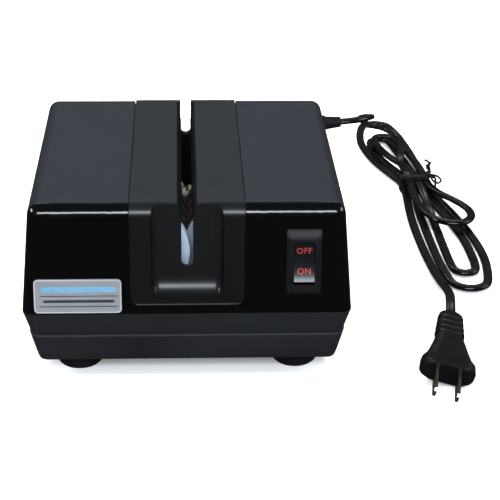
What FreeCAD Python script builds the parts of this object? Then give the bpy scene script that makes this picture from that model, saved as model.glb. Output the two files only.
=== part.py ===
import FreeCAD, Part
import math
import os
import re

from FreeCAD import Placement, Rotation, Vector

# Electric knife sharpener, millimetres. X to the right, Y to the back, Z up.
# The origin is on the table, in the middle of the housing's plan.

os.makedirs("parts", exist_ok=True)
doc = FreeCAD.newDocument("knife_sharpener")

SIZES = {
    # Housing outline
    "body_width": 178.0, "body_depth": 179.6, "mid_depth": 0.8, "foot_height": 10.5, "part_line": 29.0,
    "widest_level": 43.0, "top_level": 103.7, "top_inset": 5.0, "bevel_inset": 3.7,
    "base_inset": 6.4, "ledge": 0.8, "corner_radius": 6.0, "edge_radius": 6.5,
    "base_edge": 3.5, "wall": 2.6, "floor_wall": 2.6,
    # Guide cover with blade slot and front pocket
    "cover_width": 61.2, "cover_gap": 0.5, "cover_proud": 0.6, "cover_wall": 4.8, "lip_reach": 3.0,
    "pocket_wall": 1.8, "cover_corner": 4.5, "cover_front_low": 48.5, "cover_back_low": 70.0,
    "channel_width": 10.8,
    "channel_depth": 11.0, "guide_wall": 3.6, "throat_width": 5.4, "slot_width": 6.2, "slot_low": 67.8,
    "notch_low": 80.8, "pocket_width": 38.6, "pocket_top_depth": 3.2,
    "pocket_low": 51.3, "pocket_round": 11.0, "pocket_corner": 5.0,
    # Spindles and abrasive discs
    "axis_level": 73.0, "spindle_offset": 23.5, "disc_radius": 25.0, "disc_width": 6.5,
    "disc_pitch": 7.0, "disc_front": -74.0, "disc_count": 4, "shaft_radius": 4.0,
    "running_gap": 0.04, "slip_gap": 0.02, "spacer_radius": 8.0,
    "plate_front": -77.6, "plate_wall": 2.4, "plate_back": -17.6, "frame_width": 96.0,
    "frame_floor": 42.0, "frame_top": 82.0, "sight_width": 18.0, "bush_radius": 6.5,
    "bush_flange": 8.5, "flange_wall": 1.0, "gear_teeth": 36, "gear_front": -13.6,
    "gear_width": 7.0, "gear_addendum": 1.15, "gear_dedendum": 1.45, "gear_backlash": 0.35,
    "pulley_front": -5.0, "pulley_width": 9.0, "driven_radius": 16.0, "driver_radius": 8.0,
    "rim_height": 1.6, "rim_wall": 1.2, "belt_wall": 1.6, "belt_gap": 0.15,
    # Motor
    "motor_across": 36.0, "motor_level": 45.0, "stator_width": 54.0, "stator_height": 46.0,
    "stator_front": 26.0, "stator_length": 32.0, "stator_bore": 16.5, "air_gap": 0.5,
    "motor_shaft_radius": 3.0, "bracket_wall": 3.0, "bracket_height": 16.0,
    "front_bracket": 10.0, "back_bracket": 71.0, "commutator_radius": 8.5,
    "commutator_length": 10.0, "fan_radius": 15.0, "fan_width": 4.0, "fan_blades": 7,
    # Switch
    "switch_across": 62.1, "switch_level": 72.4, "bezel_width": 18.6, "bezel_height": 36.3,
    "bezel_proud": 3.6, "bezel_chamfer": 2.4, "window_width": 11.6, "window_height": 23.8,
    "switch_width": 13.4, "switch_height": 28.0, "switch_depth": 20.0, "rocker_gap": 0.35,
    "rocker_reach": 3.8, "rocker_dish": 1.6, "rocker_tilt": 9.0, "rocker_pin": 1.3,
    # Label plate, feet and fasteners
    "label_width": 46.7, "label_height": 19.2, "label_wall": 0.8, "label_across": -58.6,
    "label_level": 53.8, "label_corner": 2.2, "foot_across": 60.3, "foot_back": 60.0,
    "foot_top_radius": 13.5, "foot_low_radius": 12.4, "foot_edge": 1.2, "foot_bore": 4.6,
    "foot_web": 3.2, "screw_radius": 2.0, "screw_head": 3.7, "screw_head_height": 2.4,
    "hole_gap": 0.15, "boss_radius": 5.2, "boss_across_front": 74.6, "boss_across_rear": 70.0,
    "boss_back": 70.0,
    # Cord, strain relief, tie and plug
    "cord_width": 5.3, "exit_back": 73.0, "exit_level": 91.5, "relief_flange": 4.9,
    "relief_flange_wall": 1.6, "relief_inner": 9.0, "relief_nose": 11.5, "relief_tip": 3.25,
    "relief_barrel": 3.9,
    "tie_wall": 1.0, "plug_roll": 14.0, "blade_length": 17.5, "blade_height": 6.35,
    "blade_wall": 1.5, "blade_spacing": 12.7, "blade_hole": 1.6, "plug_length": 27.0,
    "plug_relief": 24.0,
}

sheet = doc.addObject("Spreadsheet::Sheet", "sizes")
for row, (alias, value) in enumerate(SIZES.items(), start=1):
    sheet.set("A%d" % row, str(value))
    sheet.setAlias("A%d" % row, alias)
doc.recompute()


def size(name):
    """One driving dimension, read from the sheet."""
    return float(sheet.get(name))


def bind(thing, prop, text):
    """Ties a property to the sheet, with aliases written as plain words."""
    words = re.sub(r"[a-z_]+", lambda m: "sizes." + m.group() if m.group() in SIZES else m.group(), text)
    thing.setExpression(prop, words)


TURNS = {
    "x": Rotation(Vector(0, 1, 0), 90),
    "y": Rotation(Vector(1, 0, 0), -90),
    "z": Rotation(),
}


def place(thing, across, back, level, axis="z"):
    thing.Placement = Placement(Vector(), TURNS[axis])
    bind(thing, ".Placement.Base.x", across)
    bind(thing, ".Placement.Base.y", back)
    bind(thing, ".Placement.Base.z", level)
    return thing


def cylinder(name, radius, length, across, back, level, axis="y"):
    thing = doc.addObject("Part::Cylinder", name)
    bind(thing, "Radius", radius)
    bind(thing, "Height", length)
    return place(thing, across, back, level, axis)


def block(name, width, depth, height, across, back, level):
    """A box given by its low corner."""
    thing = doc.addObject("Part::Box", name)
    bind(thing, "Length", width)
    bind(thing, "Width", depth)
    bind(thing, "Height", height)
    return place(thing, across, back, level)


def fuse(name, shapes):
    thing = doc.addObject("Part::MultiFuse", name)
    thing.Shapes = shapes
    return thing


def cut(name, base, tools):
    tool = tools[0] if len(tools) == 1 else fuse(name + "_tools", tools)
    thing = doc.addObject("Part::Cut", name)
    thing.Base = base
    thing.Tool = tool
    return thing


def group(name, shapes):
    thing = doc.addObject("Part::Compound", name)
    thing.Links = shapes
    return thing


NODES = []


def node(thing, label):
    """Names a finished sub-part, which is written to its own file."""
    thing.Label = label
    NODES.append(thing)
    return thing


def feature(label, shape):
    """A sub-part whose form is worked out here from the sheet's sizes."""
    thing = doc.addObject("Part::Feature", label)
    thing.Shape = shape
    thing.Placement = shape.Placement
    return node(thing, label)


def revolved(name, profile, across, back, level, axis="y"):
    """A turned piece: profile points are (along the axis, radius), in order."""
    body = doc.addObject("PartDesign::Body", name)
    sketch = body.newObject("Sketcher::SketchObject", name + "_profile")
    plane = [f for f in body.Origin.OriginFeatures if f.Role == "XZ_Plane"][0]
    sketch.AttachmentSupport = [(plane, "")]
    sketch.MapMode = "FlatFace"
    points = [Vector(radius, along, 0) for along, radius in profile]
    for start, end in zip(points, points[1:] + points[:1]):
        sketch.addGeometry(Part.LineSegment(start, end), False)
    turn = body.newObject("PartDesign::Revolution", name + "_turn")
    turn.Profile = sketch
    turn.ReferenceAxis = (sketch, ["V_Axis"])
    turn.Angle = 360
    body.Tip = turn
    return place(body, across, back, level, axis)


def rounded_outline(half_x, half_y, level, radius):
    """A closed rectangle with round corners, at one height."""
    edges = []
    mid = radius * (1 - math.sqrt(0.5))
    corners = [(half_x, half_y, 1, 1), (-half_x, half_y, -1, 1),
               (-half_x, -half_y, -1, -1), (half_x, -half_y, 1, -1)]
    ends = []
    for index, (x, y, sx, sy) in enumerate(corners):
        beside_x = Vector(x, y - sy * radius, level)
        beside_y = Vector(x - sx * radius, y, level)
        middle = Vector(x - sx * mid, y - sy * mid, level)
        first, last = (beside_x, beside_y) if index % 2 == 0 else (beside_y, beside_x)
        edges.append(Part.Arc(first, middle, last).toShape())
        ends.append((first, last))
    for index in range(4):
        edges.append(Part.makeLine(ends[index][1], ends[(index + 1) % 4][0]))
    return Part.Wire(Part.__sortEdges__(edges))


def tapered(levels):
    """A ruled solid through rounded outlines: (level, half width, half depth, corner)."""
    wires = [rounded_outline(hx, hy, z, r) for z, hx, hy, r in levels]
    solid = Part.makeLoft(wires, True, True)
    solid.translate(Vector(0, size("mid_depth"), 0))
    return solid


half_width = size("body_width") / 2
half_depth = size("body_depth") / 2
wall = size("wall")
corner = size("corner_radius")


def housing_form(grow, top, low):
    """The housing's outer form, made larger or smaller all round by grow."""
    part, wide = size("part_line"), size("widest_level")
    slope = size("bevel_inset") / (wide - part)
    bottom = size("bevel_inset") + slope * (part - low)
    return tapered([
        (low, half_width - bottom + grow, half_depth - bottom + grow, corner + grow),
        (wide, half_width + grow, half_depth + grow, corner + grow),
        (top, half_width - size("top_inset") + grow, half_depth - size("top_inset") + grow,
         corner + grow)])


def rounded_top(form, top, radius):
    """Rounds the edges round the top face."""
    edges = [e for e in form.Edges if all(abs(v.Z - top) < 0.01 for v in e.Vertexes)]
    return form.makeFillet(radius, edges)


def side_half(level):
    """Half width of the housing's side wall at one height."""
    rise = (level - size("widest_level")) / (size("top_level") - size("widest_level"))
    return half_width - size("top_inset") * rise


def front_face(level):
    """Y of the housing's front face at one height."""
    return size("mid_depth") - (half_depth - (half_width - side_half(level)))


FACE_LEAN = math.atan2(size("top_inset"), size("top_level") - size("widest_level"))


def on_front(shape, across, level):
    """Moves a shape drawn on the XZ plane, facing -Y, to the leaning front face."""
    shape.rotate(Vector(), Vector(1, 0, 0), -math.degrees(FACE_LEAN))
    shape.translate(Vector(across, front_face(level), level))
    return shape


def rounded_slab(width, height, deep, radius):
    """A plate centred on the XZ plane's origin, from y=0 towards -Y."""
    outline = rounded_outline(width / 2, height / 2, 0, radius)
    outline.rotate(Vector(), Vector(1, 0, 0), 90)
    return Part.Face(outline).extrude(Vector(0, -deep, 0))


# Housing: one moulding with a cavity, an opening for the guide cover and bosses
top = size("top_level")


def front_box(half, low, radius):
    """A box through the front half, with its two lower edges rounded."""
    box = Part.makeBox(2 * half, half_depth + 5, top, Vector(-half, -half_depth - 5, low))
    low_edges = [e for e in box.Edges if e.BoundBox.YLength > 1 and e.BoundBox.ZMax < low + 0.01]
    return box.makeFillet(radius, low_edges)


cover_half = size("cover_width") / 2 + size("cover_gap")
outer = rounded_top(housing_form(0, top, size("part_line")), top, size("edge_radius"))
inner = housing_form(-wall, top - wall, size("part_line") - 1)
housing = outer.cut(inner)
cover_low = size("cover_front_low") - size("cover_gap")
back_low = size("cover_back_low") - size("cover_gap")
opening = front_box(cover_half, cover_low, size("cover_corner") + size("cover_gap"))
opening = opening.fuse(Part.makeBox(2 * cover_half, half_depth + 5, top, Vector(-cover_half, 0, back_low)))
housing = housing.cut(opening)
boss_low = size("part_line") + 1.0
boss_spots = [(sx * size("boss_across_front"), -size("boss_back")) for sx in (-1, 1)]
boss_spots += [(sx * size("boss_across_rear"), size("boss_back")) for sx in (-1, 1)]
for x, y in boss_spots:
    boss = Part.makeCylinder(size("boss_radius"), top - wall - boss_low, Vector(x, y, boss_low))
    hole = Part.makeCylinder(size("screw_radius") + size("slip_gap"), 18, Vector(x, y, boss_low))
    housing = housing.fuse(boss.common(outer)).cut(hole)
switch_x, switch_z = size("switch_across"), size("switch_level")
switch_hole = rounded_slab(size("switch_width") + 0.3, size("switch_height") + 0.3, 12, 0.6)
switch_hole.translate(Vector(0, 6, 0))
housing = housing.cut(on_front(switch_hole, switch_x, switch_z))
exit_way = Vector(math.cos(FACE_LEAN), 0, math.sin(FACE_LEAN))
exit_at = Vector(side_half(size("exit_level")), size("exit_back"), size("exit_level"))
relief_hole = Part.makeCylinder(size("relief_barrel") + size("hole_gap"), 14, exit_at - exit_way * 7,
                                exit_way)
housing = housing.cut(relief_hole)
feature("top_housing", housing.removeSplitter())

# Base tray with a small ledge at the parting line, screw towers and motor rails
base_low, part_line = size("foot_height"), size("part_line")
rim = half_width - size("bevel_inset") + size("ledge")
foot_half = half_width - size("base_inset")
deep_rim = half_depth - size("bevel_inset") + size("ledge")
deep_foot = half_depth - size("base_inset")
edge = size("base_edge")
lift = edge * (1 - math.sqrt(0.5))
base = tapered([(base_low, foot_half - edge, deep_foot - edge, corner - edge),
                (base_low + lift, foot_half - lift, deep_foot - lift, corner - lift),
                (base_low + edge, foot_half, deep_foot, corner), (part_line, rim, deep_rim, corner + 1)])
thin = size("wall")
hollow = tapered([(base_low + size("floor_wall"), foot_half - thin, deep_foot - thin, corner - thin),
                  (part_line + 0.01, rim - thin, deep_rim - thin, corner + 1 - thin)])
base = base.cut(hollow)
for x, y in boss_spots:
    tower = Part.makeCylinder(size("boss_radius"), part_line + 0.9 - base_low - 1.0, Vector(x, y,
                                                                                            base_low + 1.0))
    sink = Part.makeCylinder(size("screw_head") + 0.4, 5.0, Vector(x, y, base_low - 0.1))
    hole = Part.makeCylinder(size("screw_radius") + size("hole_gap"), 30, Vector(x, y, base_low))
    base = base.fuse(tower).cut(sink).cut(hole)
base_floor = base_low + size("floor_wall")
foot_spots = [(sx * size("foot_across"), sy * size("foot_back")) for sx in (-1, 1) for sy in (-1, 1)]
for x, y in foot_spots:
    pad = Part.makeCylinder(6.0, 3.4, Vector(x, y, base_floor))
    hole = Part.makeCylinder(size("screw_radius") + size("slip_gap"), 20, Vector(x, y, base_low - 1))
    base = base.fuse(pad).cut(hole)

# Posts that carry the bearing frame, and rails that carry the motor
frame_floor = size("frame_floor")
post_spots = [(sx * 38.0, y) for sx in (-1, 1) for y in (-66.0, -28.0)]
for x, y in post_spots:
    post = Part.makeCone(6.0, 4.6, frame_floor - base_floor, Vector(x, y, base_floor))
    hole = Part.makeCylinder(size("screw_radius") + size("slip_gap"), 14, Vector(x, y, frame_floor - 12))
    base = base.fuse(post).cut(hole)
motor_x, motor_z = size("motor_across"), size("motor_level")
motor_foot = motor_z - size("stator_height") / 2
rail_half = size("stator_width") / 2 - 5.0
stator_front, stator_length = size("stator_front"), size("stator_length")
rails = [motor_x - rail_half, motor_x + rail_half]
motor_screw_rows = [stator_front + 7.0, stator_front + stator_length - 7.0]
for x in rails:
    rail = Part.makeBox(10.0, stator_length, motor_foot - base_floor, Vector(x - 5.0, stator_front,
                                                                             base_floor))
    base = base.fuse(rail)
    for y in motor_screw_rows:
        hole = Part.makeCylinder(size("screw_radius") + size("slip_gap"), 6.5, Vector(x, y,
                                                                                      motor_foot - 6.5))
        base = base.cut(hole)
feature("base_tray", base.removeSplitter())

# Guide cover: a saddle over front, top and back, with the blade slot and the pocket
proud = size("cover_proud")
cover_wall = size("cover_wall")
cover_top = top + proud
shell = rounded_top(housing_form(proud, cover_top, size("part_line")), cover_top,
                    size("edge_radius") + proud)
core = housing_form(proud - cover_wall, cover_top - cover_wall, size("part_line") - 1)
lip_top = top - wall - size("slip_gap")
lip = housing_form(-wall - size("slip_gap"), lip_top, size("part_line") - 1).cut(core)
span = size("cover_width")
front_band = front_box(span / 2, size("cover_front_low"), size("cover_corner"))
back_band = Part.makeBox(span, half_depth + 5, top, Vector(-span / 2, 0, size("cover_back_low")))
band = front_band.fuse(back_band)
reach = size("lip_reach")
lip_span = span + 2 * reach
lip_front = Part.makeBox(lip_span, half_depth + 5, top, Vector(-lip_span / 2, -half_depth - 5,
                                                               size("cover_front_low") - reach))
lip_back = Part.makeBox(lip_span, half_depth + 5, top, Vector(-lip_span / 2, 0,
                                                              size("cover_back_low") - reach))
cover = shell.cut(core).common(band).fuse(lip.common(lip_front.fuse(lip_back)))

# Pocket in the front, with a wall behind it that ends in a round scoop
pocket_half = size("pocket_width") / 2
pocket_low = size("pocket_low")
scoop = size("pocket_round")
pocket_back = front_face(top) + size("pocket_top_depth")


def pocket_tool(grow, reach):
    """The pocket's hollow, or with grow the block of wall around it."""
    back = pocket_back + grow
    low = pocket_low - grow
    mid = Vector(0, back - scoop * (1 - math.sqrt(0.5)), low + scoop * (1 - math.sqrt(0.5)))
    front = -half_depth - reach
    edges = [Part.makeLine(Vector(0, front, low), Vector(0, back - scoop, low)),
             Part.Arc(Vector(0, back - scoop, low), mid, Vector(0, back, low + scoop)).toShape(),
             Part.makeLine(Vector(0, back, low + scoop), Vector(0, back, cover_top + 2)),
             Part.makeLine(Vector(0, back, cover_top + 2), Vector(0, front, cover_top + 2)),
             Part.makeLine(Vector(0, front, cover_top + 2), Vector(0, front, low))]
    side = Part.Face(Part.Wire(edges))
    half = pocket_half + grow
    side.translate(Vector(-half, 0, 0))
    solid = side.extrude(Vector(2 * half, 0, 0))
    long_edges = []
    for edge in solid.Edges:
        box = edge.BoundBox
        if box.XLength < 0.01 and box.YMin < back - scoop + 0.1 and box.YLength > 1 and box.ZLength < 0.1:
            if box.ZMax < low + 0.1:
                long_edges.append(edge)
    return solid.makeFillet(size("pocket_corner") + grow, long_edges)


pocket = pocket_tool(0, 10)
pocket_skin = pocket_tool(size("pocket_wall"), 10).common(shell).common(band)
cover = cover.fuse(pocket_skin).cut(pocket)

# Blade channel in the top, which narrows downwards between two guide walls
channel_half = size("channel_width") / 2
throat_half = size("throat_width") / 2
channel_front = pocket_back + size("pocket_wall") + 2.5
channel_back = half_depth + size("mid_depth") - size("top_inset") - 9.0
guide_low = cover_top - size("channel_depth")
guide_half = throat_half + size("guide_wall")
guides = Part.makeBox(2 * guide_half, channel_back + 1 - pocket_back, size("channel_depth") - 1,
                      Vector(-guide_half, pocket_back, guide_low))
mouth = [Vector(x, -half_depth - 5, z) for x, z in (
    (-channel_half, cover_top + 1), (channel_half, cover_top + 1), (channel_half, cover_top - 1.5),
    (throat_half, guide_low + 1.0), (throat_half, guide_low - 2), (-throat_half, guide_low - 2),
    (-throat_half, guide_low + 1.0), (-channel_half, cover_top - 1.5))]
channel = Part.Face(Part.makePolygon(mouth + mouth[:1])).extrude(Vector(0,
                                                                        channel_back + half_depth + 5, 0))
cover = cover.fuse(guides).cut(channel)


def slot_tool(low, y_from, y_to):
    """A slot with a round bottom, open upwards."""
    half = size("slot_width") / 2
    bottom = Part.makeCylinder(half, y_to - y_from, Vector(0, y_from, low + half), Vector(0, 1, 0))
    return bottom.fuse(Part.makeBox(2 * half, y_to - y_from, 60, Vector(-half, y_from, low + half)))


cover = cover.cut(slot_tool(size("slot_low"), -half_depth - 5, channel_front + 3))
cover = cover.cut(slot_tool(size("notch_low"), channel_back - 3, half_depth + 5))
feature("guide_cover", cover.removeSplitter())

# Label plate, bare, on the front face
label = rounded_slab(size("label_width"), size("label_height"), size("label_wall"), size("label_corner"))
feature("label_plate", on_front(label, size("label_across"), size("label_level")))

# Switch: raised bezel with a window, housing block behind, terminals and rocker
bezel_wires = []
for out, narrow in ((0, 0), (size("bezel_proud") - size("bezel_chamfer"), 0), (size("bezel_proud"),
                                                                               size("bezel_chamfer"))):
    ring = rounded_outline(size("bezel_width") / 2 - narrow, size("bezel_height") / 2 - narrow, 0, 0.8)
    ring.rotate(Vector(), Vector(1, 0, 0), 90)
    ring.translate(Vector(0, -out, 0))
    bezel_wires.append(ring)
bezel = Part.makeLoft(bezel_wires, True, True)
window = rounded_slab(size("window_width"), size("window_height"), 30, 0.5)
window.translate(Vector(0, 15, 0))
bezel = bezel.cut(window)
neck = rounded_slab(size("switch_width"), size("switch_height"), size("switch_depth"), 0.5)
neck.translate(Vector(0, size("switch_depth"), 0))
well_depth = 9.0
well = rounded_slab(size("window_width"), size("window_height"), well_depth, 0.5)
well.translate(Vector(0, well_depth, 0))
switch_frame = bezel.fuse(neck.cut(well))
pivot_deep = 1.2
pin_hole = Part.makeCylinder(size("rocker_pin") + size("running_gap"), size("switch_width") - 1.0,
                             Vector(-size("switch_width") / 2 + 0.5, pivot_deep, 0), Vector(1, 0, 0))
switch_frame = switch_frame.cut(pin_hole)
feature("switch_frame", on_front(switch_frame, switch_x, switch_z))

reach = size("rocker_reach") + pivot_deep
end_radius = size("window_height") / 2 - size("rocker_gap")
end_high = math.sqrt(end_radius ** 2 - reach ** 2)
back_reach = 4.0
back_high = math.sqrt(end_radius ** 2 - back_reach ** 2)
dish = reach - size("rocker_dish")
outline = [
    Part.Arc(Vector(0, -reach, end_high), Vector(0, -dish, 0), Vector(0, -reach, -end_high)).toShape(),
    Part.Arc(Vector(0, -reach, -end_high), Vector(0, 0, -end_radius), Vector(0, back_reach,
                                                                             -back_high)).toShape(),
    Part.makeLine(Vector(0, back_reach, -back_high), Vector(0, back_reach, back_high)),
    Part.Arc(Vector(0, back_reach, back_high), Vector(0, 0, end_radius), Vector(0, -reach,
                                                                                end_high)).toShape(),
]
rocker_half = size("window_width") / 2 - size("rocker_gap")
rocker_side = Part.Face(Part.Wire(outline))
rocker_side.translate(Vector(-rocker_half, 0, 0))
rocker = rocker_side.extrude(Vector(2 * rocker_half, 0, 0))
pin_half = size("switch_width") / 2 - 0.6
pin = Part.makeCylinder(size("rocker_pin"), 2 * pin_half, Vector(-pin_half, 0, 0), Vector(1, 0, 0))
rocker = rocker.fuse(pin)
rocker.rotate(Vector(), Vector(1, 0, 0), -size("rocker_tilt"))
rocker.translate(Vector(0, pivot_deep, 0))
feature("switch_rocker", on_front(rocker, switch_x, switch_z))

terminals = []
for offset in (-6.0, 6.0):
    blade = Part.makeBox(4.8, 8.0, 0.8, Vector(-2.4, size("switch_depth"), offset - 0.4))
    terminals.append(on_front(blade, switch_x, switch_z))
feature("switch_terminals", Part.makeCompound(terminals))

# Feet and their screws
feet = []
foot_screws = []
foot_height, web = size("foot_height"), size("foot_web")
for index, (sx, sy) in enumerate(((-1, -1), (1, -1), (-1, 1), (1, 1))):
    profile = [(0, size("foot_bore")), (0, size("foot_low_radius") - size("foot_edge")),
               (size("foot_edge"), size("foot_low_radius")), (foot_height, size("foot_top_radius")),
               (foot_height, size("screw_radius") + size("hole_gap")),
               (foot_height - web, size("screw_radius") + size("hole_gap")),
               (foot_height - web, size("foot_bore"))]
    feet.append(revolved("foot_%d" % index, profile, "%d * foot_across" % sx, "%d * foot_back" % sy,
                         "0", "z"))
    shank = cylinder("foot_shank_%d" % index, "screw_radius", "foot_web + 6.5", "%d * foot_across" % sx,
                     "%d * foot_back" % sy, "foot_height - foot_web", "z")
    head = cylinder("foot_head_%d" % index, "screw_head", "screw_head_height", "%d * foot_across" % sx,
                    "%d * foot_back" % sy, "foot_height - foot_web - screw_head_height", "z")
    foot_screws.append(fuse("foot_screw_%d" % index, [shank, head]))
node(group("rubber_feet", feet), "rubber_feet")
node(group("foot_screws", foot_screws), "foot_screws")

# Housing screws, driven up from below the base tray
housing_screws = []
for index, (sx, sy) in enumerate(((-1, -1), (1, -1), (-1, 1), (1, 1))):
    seat = "foot_height + 4.9"
    across = "%d * boss_across_front" % sx if sy < 0 else "%d * boss_across_rear" % sx
    back = "%d * boss_back" % sy
    shank = cylinder("housing_shank_%d" % index, "screw_radius", "part_line - foot_height + 8", across,
                     back,
                     seat, "z")
    head = cylinder("housing_head_%d" % index, "screw_head", "screw_head_height", across, back,
                    seat + " - screw_head_height", "z")
    housing_screws.append(fuse("housing_screw_%d" % index, [shank, head]))
node(group("housing_screws", housing_screws), "housing_screws")

# Bearing frame: a folded steel plate with two upright cheeks
plate = size("plate_wall")
frame_front, frame_back = size("plate_front"), size("plate_back") + plate
web_plate = Part.makeBox(size("frame_width"), frame_back - frame_front, plate,
                         Vector(-size("frame_width") / 2, frame_front, frame_floor))
cheeks = []
for y in (size("plate_front"), size("plate_back")):
    cheek = Part.makeBox(size("frame_width"), plate, size("frame_top") - frame_floor,
                         Vector(-size("frame_width") / 2, y, frame_floor))
    upright = [e for e in cheek.Edges if e.BoundBox.YLength > 1 and e.BoundBox.ZMax > size("frame_top") - 0.1]
    cheek = cheek.makeFillet(9.0, upright)
    cheeks.append(cheek)
frame = web_plate.fuse(cheeks)
sight = Part.makeBox(size("sight_width"), 20, 60, Vector(-size("sight_width") / 2,
                                                         size("plate_front") - 10, 58.0))
sight_round = [e for e in sight.Edges if e.BoundBox.YLength > 1 and e.BoundBox.ZMax < 59]
frame = frame.cut(sight.makeFillet(6.0, sight_round))
for x in (-size("spindle_offset"), size("spindle_offset")):
    seat = Part.makeCylinder(size("bush_radius"), frame_back - frame_front + 2,
                             Vector(x, frame_front - 1, size("axis_level")), Vector(0, 1, 0))
    frame = frame.cut(seat)
for x, y in post_spots:
    hole = Part.makeCylinder(size("screw_radius") + size("hole_gap"), 10, Vector(x, y, frame_floor - 3))
    frame = frame.cut(hole)
feature("bearing_frame", frame.removeSplitter())

frame_screws = []
for index, (sx, y) in enumerate(((-1, -66.0), (1, -66.0), (-1, -28.0), (1, -28.0))):
    level = "frame_floor + plate_wall"
    shank = cylinder("frame_shank_%d" % index, "screw_radius", "plate_wall + 9", "%d * 38" % sx, "%d" % y,
                     "frame_floor - 9", "z")
    head = cylinder("frame_head_%d" % index, "screw_head - 0.4", "1.8", "%d * 38" % sx, "%d" % y, level,
                    "z")
    frame_screws.append(fuse("frame_screw_%d" % index, [shank, head]))
node(group("frame_screws", frame_screws), "frame_screws")

# Flanged bronze bushes in the cheeks
bushes = []
for side in (-1, 1):
    for row, (face, inward) in enumerate((("plate_front", 1), ("plate_back", -1))):
        barrel = cylinder("bush_barrel_%d_%d" % (side, row), "bush_radius", "plate_wall",
                          "%d * spindle_offset" % side, face, "axis_level")
        flange_at = face + " - flange_wall" if row == 0 else face + " + plate_wall"
        flange = cylinder("bush_flange_%d_%d" % (side, row), "bush_flange", "flange_wall",
                          "%d * spindle_offset" % side, flange_at, "axis_level")
        bore = cylinder("bush_bore_%d_%d" % (side, row), "shaft_radius + running_gap", "20",
                        "%d * spindle_offset" % side, face + " - 8", "axis_level")
        solid = fuse("bush_solid_%d_%d" % (side, row), [barrel, flange])
        bushes.append(cut("bush_%d_%d" % (side, row), solid, [bore]))
node(group("spindle_bushes", bushes), "spindle_bushes")

# Spindles: shafts, abrasive discs, spacers, gears and the driven pulley
SIDES = (("left", -1), ("right", 1))
disc_count = int(size("disc_count"))
for label, side in SIDES:
    across = "%d * spindle_offset" % side
    tail = "pulley_front + pulley_width + 2" if side < 0 else "gear_front + gear_width + 1.6"
    shaft = cylinder(label + "_rod", "shaft_radius", tail + " - plate_front + 1.2", across,
                     "plate_front - 1.2",
                     "axis_level")
    node(shaft, label + "_shaft")
    discs = []
    spacers = []
    first = 0 if side < 0 else 1
    for index in range(disc_count):
        step = 2 * index + first
        front = "disc_front + %d * disc_pitch" % step
        disc = cylinder("%s_rim_%d" % (label, index), "disc_radius", "disc_width", across, front,
                        "axis_level")
        bore = cylinder("%s_eye_%d" % (label, index), "shaft_radius + slip_gap", "disc_width + 2", across,
                        front + " - 1", "axis_level")
        discs.append(cut("%s_disc_%d" % (label, index), disc, [bore]))
        if index < disc_count - 1:
            sleeve = cylinder("%s_sleeve_%d" % (label, index), "spacer_radius",
                              "2 * disc_pitch - disc_width - 0.1",
                              across, front + " + disc_width + 0.05", "axis_level")
            hollow_eye = cylinder("%s_hollow_%d" % (label, index), "shaft_radius + slip_gap",
                                  "2 * disc_pitch", across,
                                  front + " + disc_width - 1", "axis_level")
            spacers.append(cut("%s_spacer_%d" % (label, index), sleeve, [hollow_eye]))
    node(group(label + "_discs", discs), label + "_abrasive_discs")
    node(group(label + "_spacers", spacers), label + "_disc_spacers")


def gear_shape(teeth, pitch_radius, width, bore, first_angle):
    """A spur gear along +Y from y=0, with straight-flanked teeth and a thin web."""
    root, tip = pitch_radius - size("gear_dedendum"), pitch_radius + size("gear_addendum")
    pitch_angle = 2 * math.pi / teeth
    slack = size("gear_backlash") / 2 / pitch_radius
    half_root, half_tip = pitch_angle * 0.34 - slack, pitch_angle * 0.13 - slack / 2
    points = []
    for tooth in range(teeth):
        middle = first_angle + tooth * pitch_angle
        for radius, offset in ((root, -half_root), (tip, -half_tip), (tip, half_tip), (root, half_root)):
            angle = middle + offset
            points.append(Vector(radius * math.cos(angle), 0, radius * math.sin(angle)))
    points.append(points[0])
    solid = Part.Face(Part.makePolygon(points)).extrude(Vector(0, width, 0))
    web_cut = 2.0
    for y in (0, width - web_cut):
        ring = Part.makeCylinder(root - 3.5, web_cut, Vector(0, y, 0), Vector(0, 1, 0))
        ring = ring.cut(Part.makeCylinder(bore + 4.5, web_cut, Vector(0, y, 0), Vector(0, 1, 0)))
        solid = solid.cut(ring)
    return solid.cut(Part.makeCylinder(bore, width + 2, Vector(0, -1, 0), Vector(0, 1, 0)))


teeth = int(size("gear_teeth"))
for label, side in SIDES:
    start = 0 if side < 0 else math.pi / teeth
    gear = gear_shape(teeth, size("spindle_offset"), size("gear_width"),
                      size("shaft_radius") + size("slip_gap"),
                      start)
    gear.translate(Vector(side * size("spindle_offset"), size("gear_front"), size("axis_level")))
    feature(label + "_gear", gear)


def pulley(label, radius, bore, across, level, front):
    """A flat-belt pulley with two rims."""
    rim_r = "%s + rim_height" % radius
    drum = cylinder(label + "_drum", radius, "pulley_width", across, front, level)
    rim_a = cylinder(label + "_rim_a", rim_r, "rim_wall", across, front, level)
    rim_b = cylinder(label + "_rim_b", rim_r, "rim_wall", across, front + " + pulley_width - rim_wall",
                     level)
    eye = cylinder(label + "_eye", bore + " + slip_gap", "pulley_width + 2", across, front + " - 1", level)
    return node(cut(label + "_solid", fuse(label + "_blank", [drum, rim_a, rim_b]), [eye]), label)


pulley("driven_pulley", "driven_radius", "shaft_radius", "-1 * spindle_offset", "axis_level",
       "pulley_front")
pulley("motor_pulley", "driver_radius", "motor_shaft_radius", "motor_across", "motor_level", "pulley_front")

# Drive belt: an open loop round both pulleys
belt_y = size("pulley_front") + size("rim_wall") + 0.3
belt_width = size("pulley_width") - 2 * size("rim_wall") - 0.6
centre_a = Vector(-size("spindle_offset"), 0, size("axis_level"))
centre_b = Vector(motor_x, 0, motor_z)


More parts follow.
